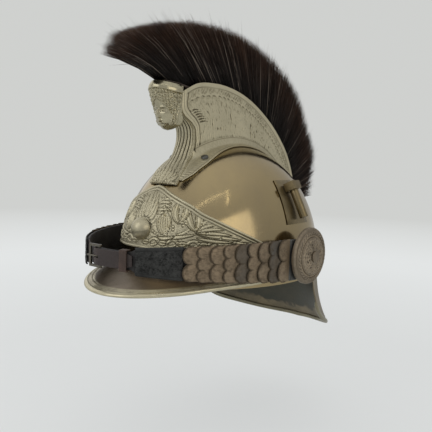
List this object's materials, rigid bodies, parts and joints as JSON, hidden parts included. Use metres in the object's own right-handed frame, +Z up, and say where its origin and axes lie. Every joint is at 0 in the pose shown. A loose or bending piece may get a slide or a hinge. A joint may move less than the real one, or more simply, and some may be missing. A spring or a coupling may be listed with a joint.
{
  "type": "gendarme helmet",
  "caption": "Brass dress helmet: domed skull, stamped crest with a mask on a fluted column, horsehair brush, front plate, peak, neck guard and a hinged scale chin strap.",
  "frame": {"origin": "middle of the dome in plan, in the plane of the head opening", "axes": "-Y to the wearer's front, +X to the wearer's left, +Z up"},
  "size_m": [0.2506, 0.3637, 0.3646],
  "materials": {
    "dome_brass": "polished, with an olive tarnish",
    "pale_brass": "stamped relief, worn bright on its high spots",
    "bronze": "darkened by age",
    "buckle_brass": "worn",
    "dark_plate": "blackened, with a coarse texture",
    "dark_steel": "dull",
    "dark_leather": "worn",
    "brown_leather": "worn",
    "brush_binding": "stained dark",
    "horsehair": "coarse hair",
    "cord": "twisted"
  },
  "bodies": {
    "helmet": {"skull": "dome_brass", "crest_left": "pale_brass", "crest_right": "pale_brass", "crest_tail": "pale_brass", "crest_channel": "pale_brass", "crest_mask": "pale_brass", "crest_column": "pale_brass", "crest_screws": "dark_steel", "crest_nuts": "dark_steel", "brush_base": "brush_binding", "brush_bunch_1": "horsehair", "brush_bunch_2": "horsehair", "brush_bunch_3": "horsehair", "brush_bunch_4": "horsehair", "brush_bunch_5": "horsehair", "brush_bunch_6": "horsehair", "brush_bunch_7": "horsehair", "brush_bunch_8": "horsehair", "front_plate": "pale_brass", "peak": "dome_brass", "peak_bead": "pale_brass", "peak_lining": "dark_leather", "peak_rivets": "dome_brass", "neck_guard": "dome_brass", "neck_guard_bead": "dome_brass", "guard_rivets": "dome_brass", "socket_plate": "dome_brass", "socket_tube": "dome_brass", "socket_collar": "dome_brass", "boss_left": "bronze", "boss_right": "bronze", "stud_left": "bronze", "stud_right": "bronze", "spacer_left": "dome_brass", "spacer_right": "dome_brass", "stud_nut_left": "dark_steel", "stud_nut_right": "dark_steel", "sweatband": "brown_leather", "liner_tongues": "brown_leather", "liner_cord": "cord"},
    "chin_strap": {"strap_left": "dark_leather", "strap_right": "dark_leather", "scales_left": "bronze", "scales_right": "bronze", "end_plate_left": "dark_plate", "end_plate_right": "dark_plate", "strap_collar_left": "bronze", "strap_collar_right": "bronze", "strap_tongue": "dark_leather", "buckle_frame": "buckle_brass"},
    "buckle_prong": {"buckle_prong": "buckle_brass"},
    "strap_keeper": {"strap_keeper": "brown_leather"}
  },
  "joints": [
    {"name": "chin_strap_hinge", "type": "hinge", "parent": "helmet", "child": "chin_strap", "pos_m": [0, 0.006, 0.03], "axis": [-1, 0, 0], "range_deg": [-3, 45]},
    {"name": "prong_hinge", "type": "hinge", "parent": "chin_strap", "child": "buckle_prong", "pos_m": [-0.005, -0.17381, 0.03189], "axis": [0, 0, 1], "range_deg": [0, 75]},
    {"name": "keeper_slide", "type": "slide", "parent": "chin_strap", "child": "strap_keeper", "axis": [-0.9439, -0.3302, 0], "range_m": [0, 0.008]}
  ]
}
